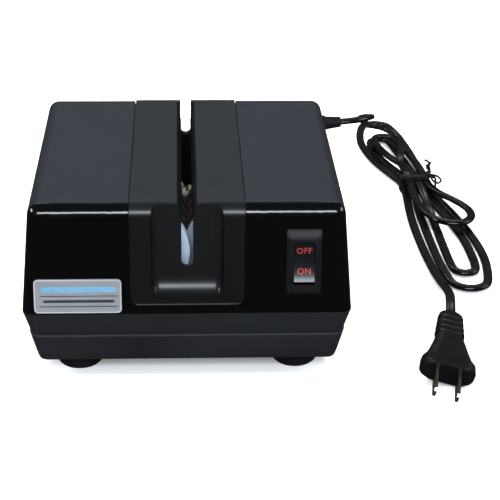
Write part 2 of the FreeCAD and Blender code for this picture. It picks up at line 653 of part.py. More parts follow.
def belt_loop(grow):
    """Outline round both pulleys: two arcs and the two straight runs that touch them."""
    ra = size("driven_radius") + size("belt_gap") + grow
    rb = size("driver_radius") + size("belt_gap") + grow
    line = centre_b - centre_a
    reach_ab = line.Length
    bearing = math.atan2(line.z, line.x)
    spread = math.acos((ra - rb) / reach_ab)

    def at(centre, radius, angle):
        return Vector(centre.x + radius * math.cos(angle), 0, centre.z + radius * math.sin(angle))
    a_up, a_low = at(centre_a, ra, bearing + spread), at(centre_a, ra, bearing - spread)
    b_up, b_low = at(centre_b, rb, bearing + spread), at(centre_b, rb, bearing - spread)
    edges = [Part.makeLine(a_up, b_up),
             Part.Arc(b_up, at(centre_b, rb, bearing), b_low).toShape(),
             Part.makeLine(b_low, a_low),
             Part.Arc(a_low, at(centre_a, ra, bearing + math.pi), a_up).toShape()]
    return Part.Wire(edges)


belt = Part.Face(belt_loop(size("belt_wall"))).cut(Part.Face(belt_loop(0)))
belt = belt.extrude(Vector(0, belt_width, 0))
belt.translate(Vector(0, belt_y, 0))
feature("drive_belt", belt)

# Motor: stator with field coils, brackets, brushes, and the turning armature
stator = Part.makeBox(size("stator_width"), stator_length, size("stator_height"),
                      Vector(motor_x - size("stator_width") / 2, stator_front, motor_foot))
long_edges = [e for e in stator.Edges if e.BoundBox.YLength > 1]
stator = stator.makeFillet(3.0, long_edges)
stator_bore = Part.makeCylinder(size("stator_bore"), stator_length + 2, Vector(motor_x,
                                                                               stator_front - 1, motor_z),
                                Vector(0, 1, 0))
stator = stator.cut(stator_bore)
pole_gap = 5.0
for sz in (-1, 1):
    base_at = motor_z + sz * (size("stator_bore") - 1.0) - (pole_gap if sz < 0 else 0)
    gap = Part.makeBox(22.0, stator_length + 2, pole_gap, Vector(motor_x - 11.0, stator_front - 1, base_at))
    stator = stator.cut(gap)
for x in rails:
    for y in motor_screw_rows:
        hole = Part.makeCylinder(size("screw_radius") + size("hole_gap"), 60, Vector(x, y, motor_foot - 1))
        stator = stator.cut(hole)
feature("motor_stator", stator.removeSplitter())

coils = []
coil_over = 7.0
coil_high = pole_gap - 1.6
for sz in (-1, 1):
    base_at = motor_z + sz * (size("stator_bore") + 0.6) - (coil_high if sz < 0 else 0)
    coil = Part.makeBox(21.0, stator_length + 2 * coil_over, coil_high,
                        Vector(motor_x - 10.5, stator_front - coil_over, base_at))
    ends = [e for e in coil.Edges if e.BoundBox.ZLength > 1]
    coils.append(coil.makeFillet(4.0, ends))
feature("field_coils", Part.makeCompound(coils))

bracket = size("bracket_wall")
bracket_half = size("stator_width") / 2
leg = 6.0
spots = (("motor_front_bracket", size("front_bracket"), stator_front),
         ("motor_back_bracket", size("back_bracket"), stator_front + stator_length))
for label, bridge_at, stator_side in spots:
    shape = Part.makeBox(2 * bracket_half, bracket, size("bracket_height"),
                         Vector(motor_x - bracket_half, bridge_at, motor_z - size("bracket_height") / 2))
    y_low, y_high = sorted((bridge_at, stator_side))
    for sx in (-1, 1):
        x = motor_x + sx * bracket_half - (leg if sx > 0 else 0)
        shape = shape.fuse(Part.makeBox(leg, y_high - y_low, size("bracket_height"),
                                        Vector(x, y_low, motor_z - size("bracket_height") / 2)))
    bush = Part.makeCylinder(6.5, bracket + 3.0, Vector(motor_x, bridge_at - 1.5, motor_z), Vector(0, 1, 0))
    hole = Part.makeCylinder(size("motor_shaft_radius") + size("running_gap"), 20,
                             Vector(motor_x, bridge_at - 8, motor_z), Vector(0, 1, 0))
    feature(label, shape.fuse(bush).cut(hole).removeSplitter())

node(cylinder("motor_rod", "motor_shaft_radius", "back_bracket + bracket_wall + 2.5 - pulley_front + 0.8",
              "motor_across", "pulley_front - 0.8", "motor_level"), "motor_shaft")
armature = Part.makeCylinder(size("stator_bore") - size("air_gap"), stator_length,
                             Vector(motor_x, stator_front, motor_z), Vector(0, 1, 0))
slots = 12
for index in range(slots):
    angle = 2 * math.pi * index / slots
    groove = Part.makeBox(7.0, stator_length + 2, 1.6, Vector(size("stator_bore") - 7.5,
                                                              stator_front - 1, -0.8))
    groove.rotate(Vector(), Vector(0, 1, 0), math.degrees(angle))
    groove.translate(Vector(motor_x, 0, motor_z))
    armature = armature.cut(groove)
armature = armature.cut(Part.makeCylinder(size("motor_shaft_radius") + size("slip_gap"), stator_length + 2,
                                          Vector(motor_x, stator_front - 1, motor_z), Vector(0, 1, 0)))
feature("motor_armature", armature)
comm_front = "stator_front + stator_length + 0.3"
drum = cylinder("commutator_drum", "commutator_radius", "commutator_length", "motor_across", comm_front,
                "motor_level")
eye = cylinder("commutator_eye", "motor_shaft_radius + slip_gap", "commutator_length + 2", "motor_across",
               comm_front + " - 1", "motor_level")
node(cut("commutator_ring", drum, [eye]), "motor_commutator")

fan_front = size("front_bracket") + bracket + 2.2
fan = Part.makeCylinder(7.0, size("fan_width"), Vector(motor_x, fan_front, motor_z), Vector(0, 1, 0))
for index in range(int(size("fan_blades"))):
    blade = Part.makeBox(size("fan_radius") - 5.0, size("fan_width"), 1.2, Vector(5.0, fan_front, -0.6))
    blade.rotate(Vector(), Vector(0, 1, 0), 360.0 * index / size("fan_blades"))
    blade.translate(Vector(motor_x, 0, motor_z))
    fan = fan.fuse(blade)
fan = fan.cut(Part.makeCylinder(size("motor_shaft_radius") + size("slip_gap"), 20,
                                Vector(motor_x, fan_front - 5, motor_z), Vector(0, 1, 0)))
feature("cooling_fan", fan.removeSplitter())

brushes = []
for sx in (-1, 1):
    inner_end = size("commutator_radius") + 0.25
    holder = Part.makeBox(bracket_half - leg - inner_end, 6.0, 7.0,
                          Vector(motor_x + (inner_end if sx > 0 else -(bracket_half - leg)),
                                 stator_front + stator_length + 2.3, motor_z - 3.5))
    brushes.append(holder)
feature("carbon_brushes", Part.makeCompound(brushes))

motor_screws = []
for index, (sx, far) in enumerate(((-1, 0), (1, 0), (-1, 1), (1, 1))):
    across = "motor_across + %d * (stator_width / 2 - 5)" % sx
    back = "stator_front + 7" if far == 0 else "stator_front + stator_length - 7"
    shank = cylinder("motor_shank_%d" % index, "screw_radius", "stator_height + 6", across, back,
                     "motor_level - stator_height / 2 - 6", "z")
    head = cylinder("motor_head_%d" % index, "screw_head", "screw_head_height", across, back,
                    "motor_level + stator_height / 2", "z")
    motor_screws.append(fuse("motor_screw_%d" % index, [shank, head]))
node(group("motor_screws", motor_screws), "motor_screws")

# Strain relief: inner barrel, flange on the side wall and a tapered nose
exit_x = side_half(size("exit_level"))
barrel_radius = size("relief_barrel")
grip = size("cord_width") / 2 + size("slip_gap")
relief_profile = [(-size("relief_inner"), grip), (-size("relief_inner"), barrel_radius), (0, barrel_radius),
                  (0, size("relief_flange")), (size("relief_flange_wall"), size("relief_flange")),
                  (size("relief_flange_wall") + 0.6, size("relief_flange") - 0.7),
                  (size("relief_nose"), size("relief_tip")), (size("relief_nose"), grip)]
relief = revolved("relief", relief_profile, "0", "exit_back", "exit_level", "x")
relief.Placement = Placement(Vector(exit_x, 0, 0), Rotation(Vector(0, 1, 0), 90 - math.degrees(FACE_LEAN)))
bind(relief, ".Placement.Base.x",
     "body_width / 2 - top_inset * (exit_level - widest_level) / (top_level - widest_level)")
bind(relief, ".Placement.Base.y", "exit_back")
bind(relief, ".Placement.Base.z", "exit_level")
node(relief, "strain_relief")


def straight_and_arc(points):
    """Straight runs joined by tangent arcs. Returns the wire and the arcs' radii."""
    cuts = [0.0]
    radii = []
    for before, here, after in zip(points, points[1:], points[2:]):
        first, second = here - before, after - here
        turn = first.getAngle(second)
        shorter = min(first.Length, second.Length)
        radius = 0.45 * shorter / math.tan(turn / 2)
        radii.append(radius)
        cuts.append(0.45 * shorter)
    cuts.append(0.0)
    edges = []
    for index in range(len(points) - 1):
        start, end = points[index], points[index + 1]
        along = (end - start).normalize()
        run_start, run_end = start + along * cuts[index], end - along * cuts[index + 1]
        edges.append(Part.makeLine(run_start, run_end))
        if index < len(points) - 2:
            onward = (points[index + 2] - end).normalize()
            arc_end = end + onward * cuts[index + 1]
            turn = along.getAngle(onward)
            back_off = (onward - along).normalize()
            sag = radii[index] * (1 / math.cos(turn / 2) - 1)
            edges.append(Part.Arc(run_end, end + back_off * sag, arc_end).toShape())
    return Part.Wire(edges), radii


def tube(wire, start, direction, radius):
    """A round tube along a wire."""
    ring = Part.Wire(Part.makeCircle(radius, start, direction))
    shell_maker = Part.BRepOffsetAPI.MakePipeShell(wire)
    shell_maker.add(ring)
    shell_maker.build()
    shell_maker.makeSolid()
    return shell_maker.shape()


cord_radius = size("cord_width") / 2
lay = cord_radius + 0.05
piled = size("cord_width") + 0.55

# Mains lead from the strain relief to the hank
lead_reach = size("relief_nose") - 3.0
lead_points = [exit_at + exit_way * lead_reach, exit_at + exit_way * (lead_reach + 8)]
lead_points += [
    (108.2, 75.7, 92.9), (113.8, 80.6, 92.2), (117.2, 88, 90.2), (118, 97.5, 87), (118, 114,
                                                                                   81), (118.3, 138, 71.5),
    (120.4, 166, 60.5), (124.8, 192, 49), (130, 213, 39.5), (133.2, 224.5, 34)]
lead_path = [Vector(*p) for p in lead_points]

# Hank: seven passes through the tie, three in the upper layer over four in the lower,
# with a nested turn between one pass and the next. Every third number is the height.
low, up = lay, lay + piled
tie_x, tie_y = 165.0, 178.0
step = size("cord_width") + 0.8
straight = 9.0
hank_passes = [(-1.0, up), (1.0, up), (0.0, up), (0.5, low), (-0.5, low), (1.5, low), (-1.5, low)]
hank_turns = [
    [(158.3, 152, up), (160, 132, up), (164.5, 115, up), (173, 105.5, up), (184, 104, up), (192, 112, up),
     (193.5, 125, up), (187.5, 140, up), (177, 155, up)],
    [(168.5, 215, up), (163, 243, up), (159, 260, up), (156.7, 265.5, up), (151.2, 267.8, up), (145.7,
                                                                                                265.5, up),
     (143.4, 260, up), (143.6, 247, up), (150, 224, up), (161, 204, up)],
    [(166.5, 150, 6.8), (168, 130, low), (168, 92, low), (168.4, 62, low), (169, 48, low), (171.2, 42.7,
                                                                                            low),
     (176.5, 40.5, low), (181.8, 42.7, low), (184, 48, low), (184.6, 64, low), (183.5, 95, low), (176.3,
                                                                                                  135, low)],
    [(164.5, 215, low), (160.5, 243, low), (156.8, 268, low), (154.5, 273.5, low), (149, 275.8, low),
     (143.5, 273.5, low),
     (141.2, 268, low), (141.4, 253, low), (147.5, 228, low), (156.5, 204, low)],
    [(160, 140, low), (160.5, 100, low), (161.4, 60, low), (164, 31, low), (167.7, 22.2, low), (176.5,
                                                                                                18.5, low),
     (185.3, 22.2, low), (189, 31, low), (192.6, 62, low), (190, 96, low), (182.8, 135, low)],
    [(171.5, 215, low), (168.5, 255, low), (164.5, 284, low), (161, 300, low), (157.6, 308.1, low),
     (149.5, 311.5, low), (141.4, 308.1, low),
     (138, 300, low), (135, 282, low), (134.3, 262, low), (140, 230, low), (149.8, 203, low)],
]
hank_path = [lead_path[-1]]
for point in ((136.5, 236, 28.5), (141, 249, 23), (148, 258, 18.5), (156, 257, 16), (161, 247, 15),
              (161, 233, 14.7),
              (156.8, 214, 14.6), (155.8, 204, 13.6), (157.2, 195.5, 11.0)):
    hank_path.append(Vector(*point))
for index, (offset, level) in enumerate(hank_passes):
    heading = -1 if index % 2 == 0 else 1
    for end in (-straight, straight):
        hank_path.append(Vector(tie_x + offset * step, tie_y + heading * end, level))
    if index < len(hank_turns):
        hank_path += [Vector(*point) for point in hank_turns[index]]
hank_end = Vector(153.4, 132.0, lay)
hank_path.append(hank_end)

# Tail from the hank to the plug: along the table, then up to the plug's raised end
plug_back = Vector(150.6, -49.0, 19.8)
plug_front = Vector(141.4, -99.0, 8.6)
plug_way = (plug_front - plug_back).normalize()
tail_end = plug_back + plug_way * 6.0
tail_points = [hank_end, Vector(153.4, 102, low), Vector(154.4, 72, low), Vector(156.2, 44, low + 0.4),
               Vector(157.2, 18, low + 4.4), Vector(156.6, -6,
                                                    low + 11.2), plug_back - plug_way * 15.0, tail_end]


def least_gap(wire, width):
    """Least clear distance of a tube to itself, on points about 1.5 mm apart."""
    points = wire.discretize(Distance=1.5)
    apart = int(3.2 * width / 1.5)
    gap = 1e9
    where = None
    for index, here in enumerate(points):
        for other in points[index + apart:]:
            dx = here.x - other.x
            if dx > gap + width or dx < -gap - width:
                continue
            distance = (here - other).Length - width
            if distance < gap:
                gap, where = distance, (here, other)
    return gap, where


lead_wire, lead_radii = straight_and_arc(lead_path)
tail_wire, tail_radii = straight_and_arc(tail_points)
hank_first = (lead_path[-1] - lead_path[-2]).normalize()
hank_wire, hank_radii = straight_and_arc(hank_path)
cord_parts = (("cord_lead", lead_wire, lead_path[0], lead_path[1] - lead_path[0]),
              ("cord_hank", hank_wire, hank_path[0], hank_first),
              ("cord_tail", tail_wire, tail_points[0], tail_points[1] - tail_points[0]))
for label, wire, start, direction in cord_parts:
    solid = tube(wire, start, direction, cord_radius)
    expected = math.pi * cord_radius ** 2 * wire.Length
    print(label, "length", round(wire.Length, 1), "volume ratio", round(solid.Volume / expected, 4))
    feature(label, solid)
print("lead radii", [round(r, 1) for r in lead_radii])
print("tail radii", [round(r, 1) for r in tail_radii])
print("hank sharpest radii", sorted(round(r, 1) for r in hank_radii)[:6])
gap, where = least_gap(hank_wire, size("cord_width"))
print("hank least gap", round(gap, 2), [tuple(round(c, 1) for c in p) for p in where])

# Twist tie round the waist of the hank
tie_half = 1.5 * step + cord_radius + 0.3
tie_high = up + cord_radius + 0.35
tie_out = size("tie_wall")


def tie_ring(grow):
    ring = rounded_outline(tie_half + grow, tie_high / 2 - 0.02 + grow * 0.5, 0, 2.6 + grow * 0.4)
    ring.rotate(Vector(), Vector(1, 0, 0), 90)
    ring.translate(Vector(tie_x, 0, tie_high / 2 + 0.02 + grow * 0.5))
    return Part.Face(ring)


band_ring = tie_ring(tie_out).cut(tie_ring(0))
twist_band = band_ring.extrude(Vector(0, 4.0, 0))
twist_band.translate(Vector(0, tie_y - 2.0, 0))
feature("twist_tie", twist_band)

# Plug: ribbed strain relief, body with finger wings and two flat blades
def plug_section(half_w, half_h, along):
    """A rounded outline square to the plug's own +Y."""
    ring = rounded_outline(half_w, half_h, 0, half_h * 0.82)
    ring.rotate(Vector(), Vector(1, 0, 0), 90)
    ring.translate(Vector(0, along, 0))
    return ring


rib_count = 4
relief_length = size("plug_relief")
plug_sections = [(-relief_length, 4.6, 3.6), (-relief_length + 2.2, 6.9, 4.4)]
for index in range(rib_count):
    near = -relief_length + 3.4 + 4.4 * index
    swell = 6.6 + 0.35 * index
    plug_sections += [(near, swell, 4.4), (near + 0.6, swell + 0.8, 4.8), (near + 2.6, swell + 0.8, 4.8),
                      (near + 3.2, swell, 4.4)]
plug_sections += [(0, 8.6, 5.4), (5, 9.8, 6.4), (12, 11.8, 7.0), (17, 13.6, 7.2), (19.5, 15.4, 7.3),
                  (24.5, 15.6, 7.3), (size("plug_length"), 12.4, 6.6)]
plug = Part.makeLoft([plug_section(w, h, a) for a, w, h in plug_sections], True, True)
cord_socket = Part.makeCylinder(cord_radius + size("slip_gap"), 6.5, Vector(0, -relief_length - 0.5, 0),
                                Vector(0, 1, 0))
plug = plug.cut(cord_socket)
blades = []
for sx in (-1, 1):
    blade = Part.makeBox(size("blade_wall"), size("blade_length") + 3.0, size("blade_height"),
                         Vector(sx * size("blade_spacing") / 2 - size("blade_wall") / 2,
                                size("plug_length") - 3.0,
                                -size("blade_height") / 2))
    tip_edges = [e for e in blade.Edges if e.BoundBox.XLength > 1 and e.BoundBox.YMin > size("plug_length") + 10]
    blade = blade.makeChamfer(1.4, tip_edges)
    hole = Part.makeCylinder(size("blade_hole"), 6,
                             Vector(sx * size("blade_spacing") / 2 - 3, size("plug_length") + 14.2,
                                    0), Vector(1, 0, 0))
    plug = plug.cut(blade)
    blades.append(blade.cut(hole))


def set_plug(shape):
    """Rolls the plug and lays it between the tail's end and the table."""
    shape.rotate(Vector(), Vector(0, 1, 0), -size("plug_roll"))
    shape.rotate(Vector(), Vector(1, 0, 0), math.degrees(math.asin(plug_way.z)))
    shape.rotate(Vector(), Vector(0, 0, 1), math.degrees(math.atan2(-plug_way.x, plug_way.y)))
    shape.translate(plug_back + plug_way * relief_length)
    return shape


feature("plug_body", set_plug(plug.removeSplitter()))
feature("plug_blades", set_plug(Part.makeCompound(blades)))

doc.recompute()
for thing in doc.Objects:
    if "Invalid" in thing.State or "Error" in thing.State:
        raise RuntimeError("failed feature: " + thing.Name + " " + str(thing.State))
triangles = 0
for thing in NODES:
    shape = thing.Shape
    if shape.isNull() or not shape.isValid():
        raise RuntimeError("bad shape: " + thing.Label)
    box = shape.optimalBoundingBox()
    facets = len(shape.tessellate(0.2)[1])
    triangles += facets
    print("%-22s solids %2d volume %10.1f low %s high %s tri %d" % (
        thing.Label, len(shape.Solids), shape.Volume,
        [round(box.XMin, 1), round(box.YMin, 1), round(box.ZMin, 1)],
        [round(box.XMax, 1), round(box.YMax, 1), round(box.ZMax, 1)], facets))
    shape.exportStep("parts/%s.step" % thing.Label)
print("nodes", len(NODES), "triangles", triangles)
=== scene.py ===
import math

import bpy
from mathutils import Matrix, Vector


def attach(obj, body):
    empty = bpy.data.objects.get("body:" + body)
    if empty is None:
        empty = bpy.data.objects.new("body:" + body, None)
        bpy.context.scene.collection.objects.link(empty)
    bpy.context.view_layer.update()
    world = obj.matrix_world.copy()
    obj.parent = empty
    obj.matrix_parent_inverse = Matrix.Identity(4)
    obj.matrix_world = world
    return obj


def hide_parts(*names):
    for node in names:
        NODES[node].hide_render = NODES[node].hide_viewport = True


# Looks of the electric knife sharpener, in metres, in the CAD's own frame.

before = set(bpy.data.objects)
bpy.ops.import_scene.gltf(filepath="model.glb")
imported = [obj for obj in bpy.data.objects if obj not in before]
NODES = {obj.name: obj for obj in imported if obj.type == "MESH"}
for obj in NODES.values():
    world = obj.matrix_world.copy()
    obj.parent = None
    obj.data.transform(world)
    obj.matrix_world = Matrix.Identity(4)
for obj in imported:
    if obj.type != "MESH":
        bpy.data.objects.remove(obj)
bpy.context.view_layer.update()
MM = 0.001

# Places on the housing that the added pieces follow, in millimetres
HALF_WIDTH, FRONT_AT = 89.0, -89.0
WIDEST_LEVEL, FACE_HEIGHT, TOP_INSET = 43.0, 60.7, 5.0
FACE_LEAN = math.atan2(TOP_INSET, FACE_HEIGHT)
EXIT_BACK, EXIT_LEVEL = 73.0, 91.5
LABEL_ACROSS, LABEL_LEVEL, LABEL_WALL = -58.6, 53.8, 0.8
SWITCH_ACROSS, SWITCH_LEVEL = 62.1, 72.4
ROCKER_PIVOT, ROCKER_REACH, ROCKER_DISH, ROCKER_HALF = 1.2, 5.0, 3.4, 10.41
ROCKER_TILT = math.radians(9.0)


def add_object(name, data):
    made = bpy.data.objects.new(name, data)
    bpy.context.scene.collection.objects.link(made)
    return made


# Shader helpers
def new_material(name):
    material = bpy.data.materials.new(name)
    material.use_nodes = True
    return material, material.node_tree.nodes, material.node_tree.links


def position(nodes, links):
    """The object's own coordinates, whole and as X, Y and Z."""
    coords = nodes.new("ShaderNodeTexCoord").outputs["Object"]
    parts = nodes.new("ShaderNodeSeparateXYZ")
    links.new(coords, parts.inputs[0])
    return coords, parts.outputs


def noise(nodes, links, coords, scale, detail=3.0):
    made = nodes.new("ShaderNodeTexNoise")
    made.inputs["Scale"].default_value = scale
    made.inputs["Detail"].default_value = detail
    made.inputs["Roughness"].default_value = 0.55
    links.new(coords, made.inputs["Vector"])
    return made.outputs[0]


def spread(nodes, links, value, low, high, start=0.3, end=0.7):
    made = nodes.new("ShaderNodeMapRange")
    made.inputs["From Min"].default_value = start
    made.inputs["From Max"].default_value = end
    made.inputs["To Min"].default_value = low
    made.inputs["To Max"].default_value = high
    links.new(value, made.inputs["Value"])
    return made.outputs["Result"]


def math_node(nodes, links, operation, first, second=None):
    made = nodes.new("ShaderNodeMath")
    made.operation = operation
    for index, value in enumerate((first, second)):
        if value is None:
            continue
        if isinstance(value, (int, float)):
            made.inputs[index].default_value = value
        else:
            links.new(value, made.inputs[index])
    return made.outputs[0]


def mix_colour(nodes, links, factor, first, second):
    made = nodes.new("ShaderNodeMix")
    made.data_type = "RGBA"
    slots = {"Factor": made.inputs[0], "A": made.inputs[6], "B": made.inputs[7]}
    for key, value in (("Factor", factor), ("A", first), ("B", second)):
        if isinstance(value, (tuple, list)):
            slots[key].default_value = (*value, 1.0) if len(value) == 3 else value
        elif isinstance(value, (int, float)):
            slots[key].default_value = value
        else:
            links.new(value, slots[key])
    return made.outputs[2]


def mix_shader(nodes, links, factor, first, second):
    made = nodes.new("ShaderNodeMixShader")
    for index, socket in enumerate((factor, first, second)):
        links.new(socket, made.inputs[index])
    return made.outputs[0]


def bump(nodes, links, height, strength, distance):
    made = nodes.new("ShaderNodeBump")
    made.inputs["Strength"].default_value = strength
    made.inputs["Distance"].default_value = distance
    links.new(height, made.inputs["Height"])
    return made.outputs["Normal"]


GRAIN_DEPTH, CELL_DEPTH = 0.4 * MM, 0.25 * MM
WAVE_PITCH = 0.314  # of a wave texture at scale 1


def surface(name, colour, rough, metallic=0.0, grain=900.0, grain_bump=0.1, wear=0.12,
            cloud=22.0, specular=0.5, stripes=None):
    """A finish with soft changes of tone, a changing roughness and a fine grain."""
    material, nodes, links = new_material(name)
    shader = nodes["Principled BSDF"]
    coords = nodes.new("ShaderNodeTexCoord").outputs["Object"]
    soft = noise(nodes, links, coords, cloud)
    fine = noise(nodes, links, coords, grain, 2.0)
    darker = tuple(c * (1 - wear) for c in colour)
    lighter = tuple(c * (1 + wear) + 0.001 for c in colour)
    tone = mix_colour(nodes, links, spread(nodes, links, soft, 0, 1), darker, lighter)
    links.new(tone, shader.inputs["Base Color"])
    uneven = spread(nodes, links, soft, rough - 0.05, rough + 0.07)
    links.new(uneven, shader.inputs["Roughness"])
    shader.inputs["Metallic"].default_value = metallic
    shader.inputs["Specular IOR Level"].default_value = specular
    height = fine
    if stripes:
        axis, pitch = stripes
        wave = nodes.new("ShaderNodeTexWave")
        wave.bands_direction = axis
        wave.inputs["Scale"].default_value = WAVE_PITCH / pitch
        wave.inputs["Distortion"].default_value = 0.15
        links.new(coords, wave.inputs["Vector"])
        soft_grain = math_node(nodes, links, "MULTIPLY", fine, 0.3)
        height = math_node(nodes, links, "ADD", soft_grain, wave.outputs["Fac"])
    links.new(bump(nodes, links, height, grain_bump, GRAIN_DEPTH), shader.inputs["Normal"])
    return material


# The front face and its gloss start just above the housing's widest level
GLOSS_FROM = (WIDEST_LEVEL + 0.1) * MM


def housing_surface(name, tone_top, tone_front, tone_low, gloss_rough, top_rough, front_at):
    """Moulded black plastic: grained on top and sides, gloss on the front face, satin below it."""
    material, nodes, links = new_material(name)
    shader = nodes["Principled BSDF"]
    coords, parts = position(nodes, links)
    soft = noise(nodes, links, coords, 14.0)
    front = math_node(nodes, links, "LESS_THAN", parts["Y"], front_at)
    above = math_node(nodes, links, "GREATER_THAN", parts["Z"], GLOSS_FROM)
    gloss = math_node(nodes, links, "MULTIPLY", front, above)
    low = math_node(nodes, links, "SUBTRACT", 1.0, above)
    tone = spread(nodes, links, soft, 0, 1)
    darker, lighter = tuple(c * 0.9 for c in tone_top), tuple(c * 1.1 for c in tone_top)
    matte = mix_colour(nodes, links, tone, darker, lighter)
    upper = mix_colour(nodes, links, gloss, matte, tone_front)
    links.new(mix_colour(nodes, links, low, upper, tone_low), shader.inputs["Base Color"])
    rough_top = spread(nodes, links, soft, top_rough - 0.03, top_rough + 0.04)
    rough_cloud = noise(nodes, links, coords, 60.0)
    gloss_soft = spread(nodes, links, rough_cloud, gloss_rough - 0.02, gloss_rough + 0.03)
    mixed = nodes.new("ShaderNodeMix")
    links.new(gloss, mixed.inputs[0])
    links.new(rough_top, mixed.inputs[2])
    links.new(gloss_soft, mixed.inputs[3])
    links.new(mixed.outputs[0], shader.inputs["Roughness"])
    cells = nodes.new("ShaderNodeTexVoronoi")
    cells.inputs["Scale"].default_value = 1500.0
    links.new(coords, cells.inputs["Vector"])
    grained = math_node(nodes, links, "SUBTRACT", 1.0, gloss)
    height = math_node(nodes, links, "MULTIPLY", cells.outputs["Distance"], grained)
    links.new(bump(nodes, links, height, 0.35, CELL_DEPTH), shader.inputs["Normal"])
    shader.inputs["Specular IOR Level"].default_value = 0.5
    return material


def disc_surface(name, colour, shade, front, back):
    """Pale grit with painted shade, darker and browner towards the back of the slot."""
    material = surface(name, colour, 0.85, grain=2600, grain_bump=0.9, wear=0.1,
                       cloud=160, specular=0.3)
    nodes, links = material.node_tree.nodes, material.node_tree.links
    shader = nodes["Principled BSDF"]
    unshaded_grit = shader.inputs["Base Color"].links[0].from_socket
    # painted shade: the grit is mixed towards the shade colour from the front level to the back
    # level in Y
    shade_share = spread(nodes, links, position(nodes, links)[1]["Y"], 0, 1, front, back)
    links.new(mix_colour(nodes, links, shade_share, unshaded_grit, shade), shader.inputs["Base Color"])
    return material


def painted_light_band(material, level, half, tone, axis="Z"):
    """A lighter band at one level along an axis: a painted highlight, where an edge or wall catches
    more light.
    """
    nodes, links = material.node_tree.nodes, material.node_tree.links
    shader = nodes["Principled BSDF"]
    base = shader.inputs["Base Color"].links[0].from_socket
    offset = math_node(nodes, links, "SUBTRACT", position(nodes, links)[1][axis], level)
    away = math_node(nodes, links, "ABSOLUTE", offset)
    # painted highlight: the band's lighter tone is mixed over the base colour
    lit_share = spread(nodes, links, away, 1, 0, half * 0.7, half)
    links.new(mix_colour(nodes, links, lit_share, base, tone), shader.inputs["Base Color"])


def dress(name, material):
    for slot in NODES[name].material_slots:
        slot.link = "OBJECT"
        slot.material = material


# Finishes of the CAD nodes
housing_black = housing_surface(
    "housing_plastic", (0.0070, 0.0082, 0.0112), (0.0005, 0.0005, 0.0006),
    (0.0050, 0.0063, 0.0084), 0.14, 0.5, -0.0783)
cover_black = housing_surface(
    "cover_plastic", (0.0044, 0.0055, 0.0068), (0.0019, 0.0019, 0.0022),
    (0.0022, 0.0022, 0.0025), 0.32, 0.48, -0.0785)
base_black = surface("base_plastic", (0.0048, 0.0060, 0.0080), 0.5, grain=1500, grain_bump=0.25)
rubber = surface("foot_rubber", (0.0022, 0.0022, 0.0024), 0.7, grain=1800, grain_bump=0.35,
                 specular=0.3)
zinc = surface("screw_zinc", (0.62, 0.63, 0.64), 0.3, 1.0, grain=1200)
label_film = surface("label_film", (0.150, 0.158, 0.170), 0.42, 0.2, grain=2500,
                     grain_bump=0.06, wear=0.05, cloud=40)
switch_black = surface("switch_plastic", (0.0034, 0.0034, 0.004), 0.27, grain=1400,
                       grain_bump=0.06)
rocker_black = surface("rocker_plastic", (0.0024, 0.0024, 0.0028), 0.22, grain=1400,
                       grain_bump=0.05)
steel_sheet = surface("galvanised_sheet", (0.5, 0.51, 0.53), 0.38, 0.95, grain=160,
                      grain_bump=0.08, wear=0.2, cloud=60)
bronze = surface("bush_bronze", (0.5, 0.33, 0.14), 0.4, 0.95, grain=2200, grain_bump=0.2)
ground_steel = surface("ground_steel", (0.6, 0.61, 0.62), 0.22, 1.0, grain_bump=0.08,
                       stripes=("Y", 0.4 * MM))
# painted shade: the last colour darkens the grit between Y = -68.5 mm and -64 mm, towards the back
# of the slot
grit = disc_surface("abrasive_grit", (0.34, 0.41, 0.5), (0.02, 0.015, 0.012), -0.0685, -0.064)
nylon = surface("gear_nylon", (0.2, 0.18, 0.14), 0.45, grain=1100, wear=0.06)
spacer_nylon = surface("spacer_nylon", (0.3, 0.29, 0.26), 0.5, wear=0.05)
belt_rubber = surface("belt_rubber", (0.02, 0.02, 0.02), 0.7, grain=1300, grain_bump=0.3,
                      stripes=("Y", 1.2 * MM))
laminations = surface("laminations", (0.2, 0.21, 0.23), 0.45, 0.9, grain=700, grain_bump=0.5,
                      stripes=("Y", 0.7 * MM))
copper = surface("copper_winding", (0.5, 0.17, 0.06), 0.32, 0.85, grain=600, grain_bump=0.6,
                 stripes=("Z", 0.8 * MM))
die_cast = surface("die_cast", (0.55, 0.56, 0.57), 0.48, 0.9, grain=500, grain_bump=0.25)
turned_copper = surface("turned_copper", (0.62, 0.3, 0.15), 0.28, 1.0, grain=800,
                        grain_bump=0.15, stripes=("Y", 0.5 * MM))
fan_nylon = surface("fan_nylon", (0.03, 0.04, 0.09), 0.45)
carbon = surface("brush_carbon", (0.03, 0.03, 0.03), 0.6, grain=2400, grain_bump=0.4)
tinned = surface("tinned_brass", (0.6, 0.56, 0.44), 0.3, 1.0, grain=1300)
plug_black = surface("plug_plastic", (0.0013, 0.0013, 0.0016), 0.4, grain=1600,
                     grain_bump=0.15, specular=0.35)
blade_metal = surface("blade_metal", (0.5, 0.45, 0.36), 0.25, 1.0, grain=1400, wear=0.25,
                      cloud=220)
cord_jacket = surface("cord_jacket", (0.0010, 0.0010, 0.0012), 0.15, grain=2200, grain_bump=0.08)
tie_film = surface("tie_film", (0.003, 0.003, 0.0035), 0.3, grain=1500, grain_bump=0.15)

# Painted highlights on edges and walls that catch more light than the face beside them
# painted highlight along the base's top edge at the parting ledge
painted_light_band(base_black, 0.0285, 0.0008, (0.0165, 0.019, 0.023))
# painted highlight along the cover's lower lip
painted_light_band(cover_black, 0.0487, 0.0006, (0.022, 0.026, 0.03))
# painted light in a band about Y = -81.2 mm on the cover
painted_light_band(cover_black, -0.0812, 0.0026, (0.0034, 0.0038, 0.0045), "Y")
# painted highlight on the switch bezel's top bevel
painted_light_band(switch_black, 0.0886, 0.0022, (0.016, 0.016, 0.018))

